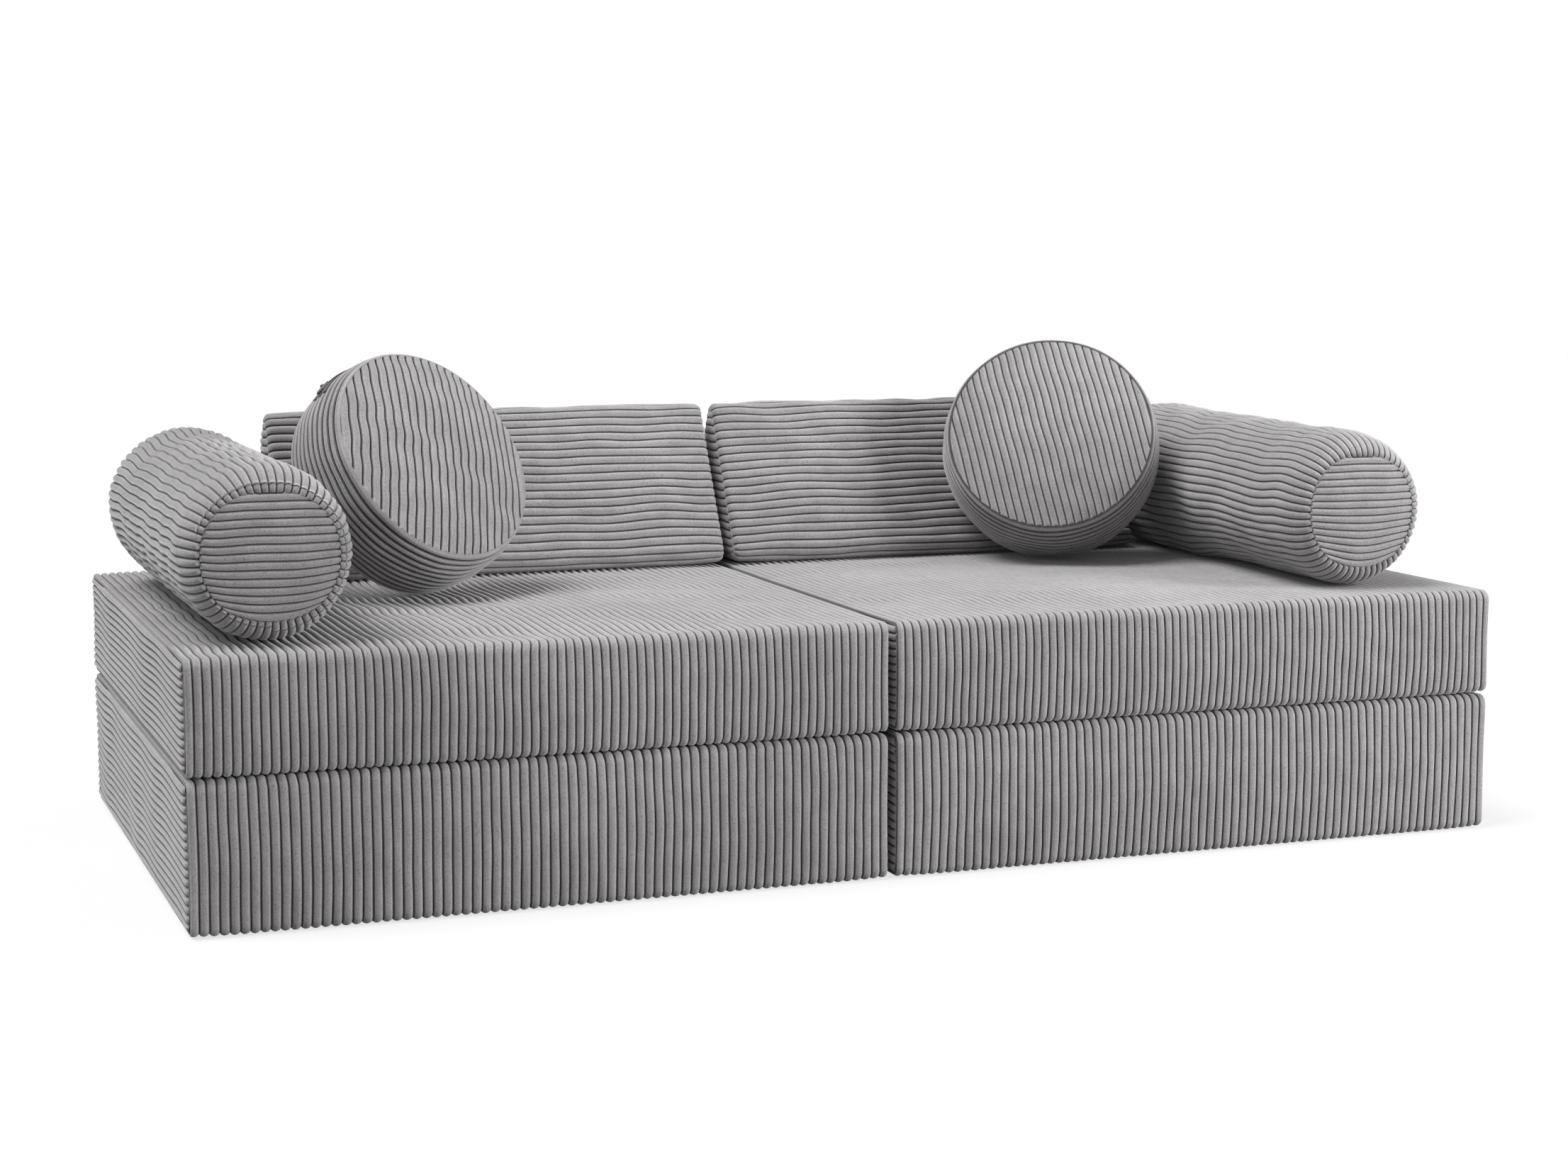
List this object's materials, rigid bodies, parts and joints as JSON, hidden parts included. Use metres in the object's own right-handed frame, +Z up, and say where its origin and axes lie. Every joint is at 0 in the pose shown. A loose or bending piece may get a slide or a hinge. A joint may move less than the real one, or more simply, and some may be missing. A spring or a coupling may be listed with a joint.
{
  "type": "sofa",
  "caption": "Low modular lounge sofa in wide wale corduroy, with stacked square blocks, wedge backs, round bolster arms and disc cushions.",
  "frame": {"origin": "middle of the footprint, on the floor", "axes": "+X to the right as seen from the front, +Y to the back, +Z up"},
  "size_m": [1.603, 0.8039, 0.5959],
  "materials": {
    "corduroy": "matte",
    "foam": "matte",
    "wadding": "matte",
    "zip_tape": "matte",
    "slider_metal": "satin"
  },
  "bodies": {
    "base_left": {"base_left_foam": "foam", "base_left_wadding": "wadding", "base_left_cover": "corduroy", "base_left_zip": "zip_tape"},
    "base_left_slider": {"base_left_slider": "slider_metal"},
    "base_right": {"base_right_foam": "foam", "base_right_wadding": "wadding", "base_right_cover": "corduroy", "base_right_zip": "zip_tape"},
    "base_right_slider": {"base_right_slider": "slider_metal"},
    "seat_left": {"seat_left_foam": "foam", "seat_left_wadding": "wadding", "seat_left_cover": "corduroy", "seat_left_zip": "zip_tape"},
    "seat_left_slider": {"seat_left_slider": "slider_metal"},
    "seat_right": {"seat_right_foam": "foam", "seat_right_wadding": "wadding", "seat_right_cover": "corduroy", "seat_right_zip": "zip_tape"},
    "seat_right_slider": {"seat_right_slider": "slider_metal"},
    "wedge_left": {"wedge_left_foam": "foam", "wedge_left_wadding": "wadding", "wedge_left_cover": "corduroy", "wedge_left_zip": "zip_tape"},
    "wedge_left_slider": {"wedge_left_slider": "slider_metal"},
    "wedge_right": {"wedge_right_foam": "foam", "wedge_right_wadding": "wadding", "wedge_right_cover": "corduroy", "wedge_right_zip": "zip_tape"},
    "wedge_right_slider": {"wedge_right_slider": "slider_metal"},
    "bolster_left": {"bolster_left_foam": "foam", "bolster_left_wadding": "wadding", "bolster_left_cover": "corduroy", "bolster_left_zip": "zip_tape"},
    "bolster_left_slider": {"bolster_left_slider": "slider_metal"},
    "bolster_right": {"bolster_right_foam": "foam", "bolster_right_wadding": "wadding", "bolster_right_cover": "corduroy", "bolster_right_zip": "zip_tape"},
    "bolster_right_slider": {"bolster_right_slider": "slider_metal"},
    "disc_left": {"disc_left_foam": "foam", "disc_left_wadding": "wadding", "disc_left_cover": "corduroy", "disc_left_zip": "zip_tape"},
    "disc_left_slider": {"disc_left_slider": "slider_metal"},
    "disc_right": {"disc_right_foam": "foam", "disc_right_wadding": "wadding", "disc_right_cover": "corduroy", "disc_right_zip": "zip_tape"},
    "disc_right_slider": {"disc_right_slider": "slider_metal"}
  },
  "joints": [
    {"name": "halves_apart", "type": "slide", "parent": "base_left", "child": "base_right", "axis": [1, 0, 0], "range_m": [0, 0.4]},
    {"name": "seat_left_lift", "type": "slide", "parent": "base_left", "child": "seat_left", "axis": [0, 0, 1], "range_m": [0, 0.3]},
    {"name": "seat_right_lift", "type": "slide", "parent": "base_right", "child": "seat_right", "axis": [0, 0, 1], "range_m": [0, 0.3]},
    {"name": "wedge_left_lift", "type": "slide", "parent": "seat_left", "child": "wedge_left", "axis": [0, 0.8, 0.6], "range_m": [0, 0.35]},
    {"name": "wedge_right_lift", "type": "slide", "parent": "seat_right", "child": "wedge_right", "axis": [0, 0.8, 0.6], "range_m": [0, 0.35]},
    {"name": "bolster_left_lift", "type": "slide", "parent": "seat_left", "child": "bolster_left", "axis": [-0.8, 0, 0.6], "range_m": [0, 0.3]},
    {"name": "bolster_right_lift", "type": "slide", "parent": "seat_right", "child": "bolster_right", "axis": [0.7981, -0.0558, 0.6], "range_m": [0, 0.3]},
    {"name": "disc_left_lift", "type": "slide", "parent": "seat_left", "child": "disc_left", "axis": [0.4273, -0.7492, 0.506], "range_m": [0, 0.3]},
    {"name": "disc_right_lift", "type": "slide", "parent": "seat_right", "child": "disc_right", "axis": [-0.403, -0.7875, 0.4664], "range_m": [0, 0.3]},
    {"name": "base_left_unzip", "type": "slide", "parent": "base_left", "child": "base_left_slider", "axis": [-1, 0, 0], "range_m": [0, 0.6]},
    {"name": "base_right_unzip", "type": "slide", "parent": "base_right", "child": "base_right_slider", "axis": [1, 0, 0], "range_m": [0, 0.6]},
    {"name": "seat_left_unzip", "type": "slide", "parent": "seat_left", "child": "seat_left_slider", "axis": [-1, 0, 0], "range_m": [0, 0.6]},
    {"name": "seat_right_unzip", "type": "slide", "parent": "seat_right", "child": "seat_right_slider", "axis": [1, 0, 0], "range_m": [0, 0.6]},
    {"name": "wedge_left_unzip", "type": "slide", "parent": "wedge_left", "child": "wedge_left_slider", "axis": [-1, 0, 0], "range_m": [0, 0.39]},
    {"name": "wedge_right_unzip", "type": "slide", "parent": "wedge_right", "child": "wedge_right_slider", "axis": [-1, 0, 0], "range_m": [0, 0.39]},
    {"name": "bolster_left_unzip", "type": "slide", "parent": "bolster_left", "child": "bolster_left_slider", "axis": [0, 1, 0], "range_m": [0, 0.44]},
    {"name": "bolster_right_unzip", "type": "slide", "parent": "bolster_right", "child": "bolster_right_slider", "axis": [0.0698, 0.9976, 0], "range_m": [0, 0.44]},
    {"name": "disc_left_unzip", "type": "hinge", "parent": "disc_left", "child": "disc_left_slider", "pos_m": [-0.45654, 0.03905, 0.44731], "axis": [0.4273, -0.7492, 0.506], "range_deg": [-67, 0]},
    {"name": "disc_right_unzip", "type": "hinge", "parent": "disc_right", "child": "disc_right_slider", "pos_m": [0.44134, 0.1107, 0.44827], "axis": [-0.403, -0.7875, 0.4664], "range_deg": [-67, 0]}
  ]
}
